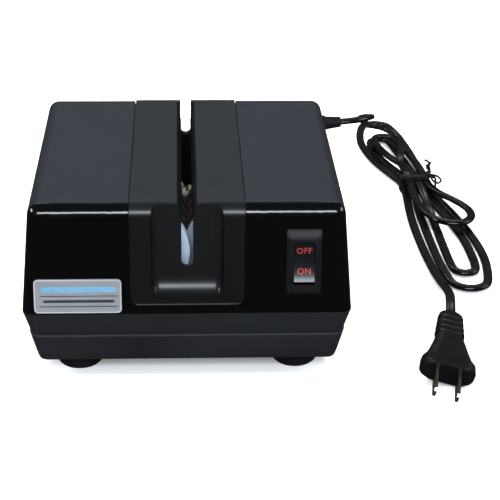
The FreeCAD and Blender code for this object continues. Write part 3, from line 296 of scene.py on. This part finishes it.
FINISHES = {
    "top_housing": housing_black, "guide_cover": cover_black, "base_tray": base_black,
    "rubber_feet": rubber, "foot_screws": zinc, "housing_screws": zinc,
    "label_plate": label_film, "switch_frame": switch_black, "switch_rocker": rocker_black,
    "switch_terminals": tinned, "bearing_frame": steel_sheet, "frame_screws": zinc,
    "spindle_bushes": bronze, "left_shaft": ground_steel, "right_shaft": ground_steel,
    "motor_shaft": ground_steel, "left_abrasive_discs": grit, "right_abrasive_discs": grit,
    "left_disc_spacers": spacer_nylon, "right_disc_spacers": spacer_nylon,
    "left_gear": nylon, "right_gear": nylon, "driven_pulley": nylon, "motor_pulley": nylon,
    "drive_belt": belt_rubber, "motor_stator": laminations, "field_coils": copper,
    "motor_front_bracket": die_cast, "motor_back_bracket": die_cast,
    "motor_armature": laminations, "motor_commutator": turned_copper,
    "cooling_fan": fan_nylon, "carbon_brushes": carbon, "motor_screws": zinc,
    "strain_relief": rubber, "twist_tie": tie_film, "plug_body": plug_black,
    "plug_blades": blade_metal,
}
for node_name, finish in FINISHES.items():
    dress(node_name, finish)


# Mains cord: one smooth line along its route, whose points are in millimetres until it is whole
LOW, UP = 2.7, 8.55
TIE_X, TIE_Y, STEP, STRAIGHT = 165.0, 178.0, 6.1, 9.0
exit_inset = TOP_INSET * (EXIT_LEVEL - WIDEST_LEVEL) / FACE_HEIGHT
exit_point = Vector((HALF_WIDTH - exit_inset, EXIT_BACK, EXIT_LEVEL))
exit_way = Vector((math.cos(FACE_LEAN), 0, math.sin(FACE_LEAN)))
inside_relief, past_relief = 3.0, 16.5


def vectors(places):
    return [Vector(place) for place in places]


lead = [exit_point + exit_way * inside_relief, exit_point + exit_way * past_relief]
lead += vectors((
    (108.2, 75.7, 92.9), (113.8, 80.6, 92.2), (117.2, 88, 90.2), (118, 97.5, 87), (118, 114, 81),
    (118.3, 138, 71.5), (120.4, 166, 60.5), (124.8, 192, 49), (130, 213, 39.5),
    (133.2, 224.5, 34)))

# The hank: seven passes through the tie, each with its offset in steps and its level, and a turn
# after each of them but the last
passes = [(-1.0, UP), (1.0, UP), (0.0, UP), (0.5, LOW), (-0.5, LOW), (1.5, LOW), (-1.5, LOW)]
turns = [
    [(158.3, 152, UP), (160, 132, UP), (164.5, 115, UP), (173, 105.5, UP), (184, 104, UP),
     (192, 112, UP), (193.5, 125, UP), (187.5, 140, UP), (177, 155, UP)],
    [(168.5, 215, UP), (163, 243, UP), (159, 260, UP), (156.7, 265.5, UP), (151.2, 267.8, UP),
     (145.7, 265.5, UP), (143.4, 260, UP), (143.6, 247, UP), (150, 224, UP), (161, 204, UP)],
    [(166.5, 150, 6.8), (168, 130, LOW), (168, 92, LOW), (168.4, 62, LOW), (169, 48, LOW),
     (171.2, 42.7, LOW), (176.5, 40.5, LOW), (181.8, 42.7, LOW), (184, 48, LOW),
     (184.6, 64, LOW), (183.5, 95, LOW), (176.3, 135, LOW)],
    [(164.5, 215, LOW), (160.5, 243, LOW), (156.8, 268, LOW), (154.5, 273.5, LOW),
     (149, 275.8, LOW), (143.5, 273.5, LOW), (141.2, 268, LOW), (141.4, 253, LOW),
     (147.5, 228, LOW), (156.5, 204, LOW)],
    [(160, 140, LOW), (160.5, 100, LOW), (161.4, 60, LOW), (164, 31, LOW), (167.7, 22.2, LOW),
     (176.5, 18.5, LOW), (185.3, 22.2, LOW), (189, 31, LOW), (192.6, 62, LOW), (190, 96, LOW),
     (182.8, 135, LOW)],
    [(171.5, 215, LOW), (168.5, 255, LOW), (164.5, 284, LOW), (161, 300, LOW),
     (157.6, 308.1, LOW), (149.5, 311.5, LOW), (141.4, 308.1, LOW), (138, 300, LOW),
     (135, 282, LOW), (134.3, 262, LOW), (140, 230, LOW), (149.8, 203, LOW)],
]
hank = vectors((
    (136.5, 236, 28.5), (141, 249, 23), (148, 258, 18.5), (156, 257, 16), (161, 247, 15),
    (161, 233, 14.7), (156.8, 214, 14.6), (155.8, 204, 13.6), (157.2, 195.5, 11.0)))
for index, (offset, level) in enumerate(passes):
    heading = -1 if index % 2 == 0 else 1
    for end in (-STRAIGHT, STRAIGHT):
        hank.append(Vector((TIE_X + offset * STEP, TIE_Y + heading * end, level)))
    if index < len(turns):
        hank += vectors(turns[index])

plug_back = Vector((150.6, -49.0, 19.8))
plug_front = Vector((141.4, -99.0, 8.6))
plug_way = (plug_front - plug_back).normalized()
before_plug, inside_plug = 15.0, 6.0
tail = vectors((
    (153.4, 132, LOW), (153.4, 102, LOW), (154.4, 72, LOW), (156.2, 44, LOW + 0.4),
    (157.2, 18, LOW + 4.4), (156.6, -6, LOW + 11.2)))
tail += [plug_back - plug_way * before_plug, plug_back + plug_way * inside_plug]
route = [place * MM for place in lead + hank + tail]


def twin_section():
    """The outline of a flat cord with two round lobes."""
    lobe, centre_at, steps = 1.6 * MM, 1.28 * MM, 12
    half_sweep = math.radians(118)
    section = bpy.data.curves.new("cord_section", "CURVE")
    section.dimensions = "2D"
    places = []
    for side, turn in ((1, 0.0), (-1, math.pi)):
        for step in range(steps + 1):
            angle = turn - half_sweep + 2 * half_sweep * step / steps
            places.append((side * centre_at + lobe * math.cos(angle), lobe * math.sin(angle)))
    outline = section.splines.new("POLY")
    outline.points.add(len(places) - 1)
    for point, (x, y) in zip(outline.points, places):
        point.co = (x, y, 0, 1)
    outline.use_cyclic_u = True
    made = add_object("cord_section", section)
    made.hide_render = True
    made.hide_viewport = True
    return made


def smooth_line(name, places, finish, resolution):
    """A curve data block with one NURBS spline, whose control points are given in metres."""
    line = bpy.data.curves.new(name, "CURVE")
    line.dimensions = "3D"
    line.use_fill_caps = True
    spline = line.splines.new("NURBS")
    spline.points.add(len(places) - 1)
    for point, place in zip(spline.points, places):
        point.co = (*place, 1)
    spline.order_u = 3
    spline.use_endpoint_u = True
    spline.resolution_u = resolution
    line.materials.append(finish)
    return line


cord_line = smooth_line("mains_cord", route, cord_jacket, 8)
cord_line.bevel_mode = "OBJECT"
cord_line.bevel_object = twin_section()
cord_line.twist_mode = "Z_UP"
cord = add_object("mains_cord", cord_line)
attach(cord, "case")
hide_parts("cord_lead", "cord_hank", "cord_tail")


# Twist tie: two twisted ends that stand up, and a small loop beside the knot
def wire_piece(name, places, thick):
    line = smooth_line(name, [Vector(place) * MM for place in places], tie_film, 6)
    line.bevel_depth = thick * MM
    line.bevel_resolution = 3
    piece = add_object(name, line)
    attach(piece, "case")
    return piece


KNOT = Vector((172.6, 178.0, 12.9))
TWIST_STEPS, TWIST_TURNS, TWIST_RADIUS = 18, 2, 1.0
SPLAY_FROM, SPLAY = 0.8, 5.0
for name, start, height in (("tie_end_a", 0.0, 9.6), ("tie_end_b", math.pi, 11.2)):
    places = []
    for step in range(TWIST_STEPS + 1):
        share = step / TWIST_STEPS
        angle = start + share * TWIST_TURNS * 2 * math.pi
        swing = TWIST_RADIUS + SPLAY * max(0.0, share - SPLAY_FROM)
        lean = Vector((-1.2, 0.6, height)) * share
        places.append(KNOT + lean + Vector((swing * math.cos(angle), swing * math.sin(angle), 0)))
    wire_piece(name, places, 0.85)
loop_places = (
    (172.6, 178, 13.4), (175, 175, 14.6), (178.4, 170, 15), (179.6, 165, 14), (177, 162.5, 13),
    (174.4, 166, 12.8), (173.4, 172, 13.2), (172.8, 177.4, 13.8))
wire_piece("tie_loop", loop_places, 0.8)


# Print on the label and words on the rocker
def turned(point, angle):
    """A point turned about the X axis."""
    x, y, z = point
    return x, y * math.cos(angle) - z * math.sin(angle), y * math.sin(angle) + z * math.cos(angle)


def on_front(point, across, level):
    """A point drawn on the XZ plane, facing -Y, on the leaning front face, in metres."""
    x, y, z = turned(point, -FACE_LEAN)
    face = FRONT_AT + TOP_INSET * (level - WIDEST_LEVEL) / FACE_HEIGHT
    return Vector((x + across, y + face, z + level)) * MM


def rocker_point(across, height, proud):
    """A point on the hollow face of the rocker, in metres."""
    hollow = ROCKER_REACH - ROCKER_DISH
    bend = (ROCKER_HALF ** 2 + hollow ** 2) / (2 * hollow)
    deep = -ROCKER_DISH - bend + math.sqrt(bend ** 2 - height ** 2)
    x, y, z = turned((across, deep - proud, height), -ROCKER_TILT)
    return on_front((x, y + ROCKER_PIVOT, z), SWITCH_ACROSS, SWITCH_LEVEL)


def rocker_word(word, height):
    """A raised word whose middle stands at that height on the rocker, above its pivot."""
    clearance = 0.04
    text = bpy.data.curves.new(word + "_outline", "FONT")
    text.body = word
    text.size = 4.6
    text.align_x = "CENTER"
    text.align_y = "CENTER"
    text.space_character = 1.08
    text.offset = 0.1
    text.extrude = 0.03
    text.resolution_u = 4
    flat = add_object(word + "_outline", text)
    bpy.context.view_layer.update()
    graph = bpy.context.evaluated_depsgraph_get()
    mesh = bpy.data.meshes.new_from_object(flat.evaluated_get(graph))
    bpy.data.objects.remove(flat)
    for vertex in mesh.vertices:
        vertex.co = rocker_point(vertex.co.x, height + vertex.co.y, clearance + vertex.co.z)
    mesh.materials.clear()
    mesh.materials.append(word_red)
    piece = add_object("rocker_word_" + word.lower(), mesh)
    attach(piece, "switch_rocker")


word_red = surface("word_red", (0.2, 0.006, 0.008), 0.4, grain=1800, grain_bump=0.05, wear=0.08)
rocker_word("OFF", 6.2)
rocker_word("ON", -5.0)


CORNER_STEPS = 4


def rounded_bar(across, level, width, height, radius):
    """Outline of a bar with round corners, on the label."""
    places = []
    for corner, (sx, sz) in enumerate(((1, 1), (-1, 1), (-1, -1), (1, -1))):
        for step in range(CORNER_STEPS + 1):
            angle = math.radians(90 * (corner + step / CORNER_STEPS))
            places.append((across + sx * (width / 2 - radius) + radius * math.cos(angle),
                           level + sz * (height / 2 - radius) + radius * math.sin(angle)))
    return places


PRINT_WALL = 0.05


def label_piece(name, outer, finish, inner=None):
    """A thin printed shape, or a printed border when inner is given."""
    count = len(outer)
    flat = outer if inner is None else outer + inner
    places = [on_front((x, -LABEL_WALL - out, z), LABEL_ACROSS, LABEL_LEVEL)
              for out in (0.0, PRINT_WALL) for x, z in flat]
    faces = []
    if inner is None:
        faces = [tuple(range(count, 2 * count))[::-1], tuple(range(count))]
        faces += [(k, (k + 1) % count, count + (k + 1) % count, count + k) for k in range(count)]
    else:
        for k in range(count):
            n = (k + 1) % count
            a, b, c, d = 0, count, 2 * count, 3 * count
            faces += [(c + k, c + n, d + n, d + k), (a + k, b + k, b + n, a + n),
                      (a + k, a + n, c + n, c + k), (b + k, d + k, d + n, b + n)]
    mesh = bpy.data.meshes.new(name)
    mesh.from_pydata(places, [], faces)
    mesh.materials.append(finish)
    piece = add_object(name, mesh)
    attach(piece, "case")


print_blue = surface("print_blue", (0.075, 0.19, 0.30), 0.4, grain=2200, grain_bump=0.05,
                     wear=0.1, cloud=300)
print_dark = surface("print_dark", (0.012, 0.014, 0.02), 0.4, grain=2200, grain_bump=0.05)
border_film = surface("border_film", (0.25, 0.26, 0.275), 0.35, grain=2500, grain_bump=0.05,
                      wear=0.04)
border_outer = rounded_bar(0, 0, 46.5, 19.0, 2.1)
border_inner = rounded_bar(0, 0, 45.3, 17.8, 1.6)
label_piece("label_border", border_outer, border_film, border_inner)
label_piece("label_stripe", rounded_bar(0.5, 3.9, 40.0, 3.4, 1.2), print_blue)
label_piece("label_rule_a", rounded_bar(0.5, 0.2, 41.5, 0.45, 0.2), print_dark)
label_piece("label_rule_b", rounded_bar(0.5, -5.8, 41.5, 0.45, 0.2), print_dark)
label_piece("label_dash", rounded_bar(0.5, -2.8, 38.0, 1.5, 0.6), print_dark)


# Floor, world and lights
def stage_floor():
    """A pale matte floor, which looks dark where the part's gloss mirrors it."""
    bpy.ops.mesh.primitive_plane_add(size=8.0, location=(0, 1.0, -0.0002))
    floor = bpy.context.object
    floor.name = "studio_floor"
    material, nodes, links = new_material("studio_floor")
    shader = nodes["Principled BSDF"]
    coords = nodes.new("ShaderNodeTexCoord").outputs["Object"]
    tone = spread(nodes, links, noise(nodes, links, coords, 3.0), 0.90, 0.94)
    whole = nodes.new("ShaderNodeCombineColor")
    for index in range(3):
        links.new(tone, whole.inputs[index])
    links.new(whole.outputs[0], shader.inputs["Base Color"])
    shader.inputs["Roughness"].default_value = 0.9
    shader.inputs["Emission Color"].default_value = (1, 1, 1, 1)
    shader.inputs["Emission Strength"].default_value = 0.2
    dark = nodes.new("ShaderNodeEmission")
    dark.inputs["Color"].default_value = (0.05, 0.052, 0.055, 1)
    glossy = nodes.new("ShaderNodeLightPath").outputs["Is Glossy Ray"]
    mixed = mix_shader(nodes, links, glossy, shader.outputs[0], dark.outputs[0])
    links.new(mixed, nodes["Material Output"].inputs["Surface"])
    floor.data.materials.append(material)


def studio_world():
    """A bright world for diffuse light, a quiet one in reflections and white behind the part."""
    world = bpy.data.worlds.new("studio")
    bpy.context.scene.world = world
    world.use_nodes = True
    nodes, links = world.node_tree.nodes, world.node_tree.links
    background = nodes["Background"]
    background.inputs["Color"].default_value = (0.94, 0.97, 1.0, 1)
    background.inputs["Strength"].default_value = 0.9
    quiet = nodes.new("ShaderNodeBackground")
    quiet.inputs["Color"].default_value = (0.5, 0.53, 0.58, 1)
    quiet.inputs["Strength"].default_value = 0.16
    bright = nodes.new("ShaderNodeBackground")
    bright.inputs["Strength"].default_value = 1.6
    path = nodes.new("ShaderNodeLightPath").outputs
    lit = mix_shader(nodes, links, path["Is Glossy Ray"], background.outputs[0], quiet.outputs[0])
    seen = mix_shader(nodes, links, path["Is Camera Ray"], lit, bright.outputs[0])
    links.new(seen, nodes["World Output"].inputs["Surface"])


def softbox(name, place, target, width, height, power, colour=(1, 1, 1), mirrored=True):
    data = bpy.data.lights.new(name, "AREA")
    data.shape = "RECTANGLE"
    data.size, data.size_y = width, height
    data.energy = power
    data.color = colour
    lamp = add_object(name, data)
    lamp.location = place
    lamp.visible_glossy = mirrored
    lamp.rotation_euler = (Vector(target) - Vector(place)).to_track_quat("-Z", "Y").to_euler()


stage_floor()
studio_world()
softbox("front_box", (0.05, -1.30, 0.95), (0, 0, 0.08), 1.1, 0.34, 20, (0.84, 0.92, 1.0))
softbox("top_box", (0.0, 0.1, 1.7), (0, 0, 0), 1.6, 1.6, 62, mirrored=False)
softbox("back_box", (0.0, 1.6, 1.15), (0, 0, 0.08), 1.4, 0.12, 2.1, (0.92, 0.96, 1.0))
softbox("left_box", (-1.4, 0.0, 0.9), (0, 0, 0.06), 0.8, 0.3, 12, (0.95, 0.97, 1.0))
softbox("right_box", (1.5, 0.0, 0.8), (0.1, 0, 0.06), 1.0, 0.5, 8, (0.95, 0.97, 1.0))

# Camera from the photograph
CAMERA_AT = (-0.00312, -0.81923, 0.42412)
yaw, pitch, roll = math.radians(2.84), math.radians(25.16), math.radians(0.83)
ahead = Vector((math.sin(yaw) * math.cos(pitch), math.cos(yaw) * math.cos(pitch), -math.sin(pitch)))
level_right = Vector((math.cos(yaw), -math.sin(yaw), 0))
level_up = level_right.cross(ahead)
right = level_right * math.cos(roll) + level_up * math.sin(roll)
up = level_up * math.cos(roll) - level_right * math.sin(roll)
camera_data = bpy.data.cameras.new("camera")
camera_data.lens = 110.0
camera_data.sensor_width = 36.0
camera_data.clip_start = 0.05
camera_data.clip_end = 50
camera = add_object("camera", camera_data)
rows = [(right[axis], up[axis], -ahead[axis], CAMERA_AT[axis]) for axis in range(3)]
camera.matrix_world = Matrix((*rows, (0, 0, 0, 1)))
bpy.context.scene.camera = camera
bpy.context.scene.view_settings.view_transform = "Standard"
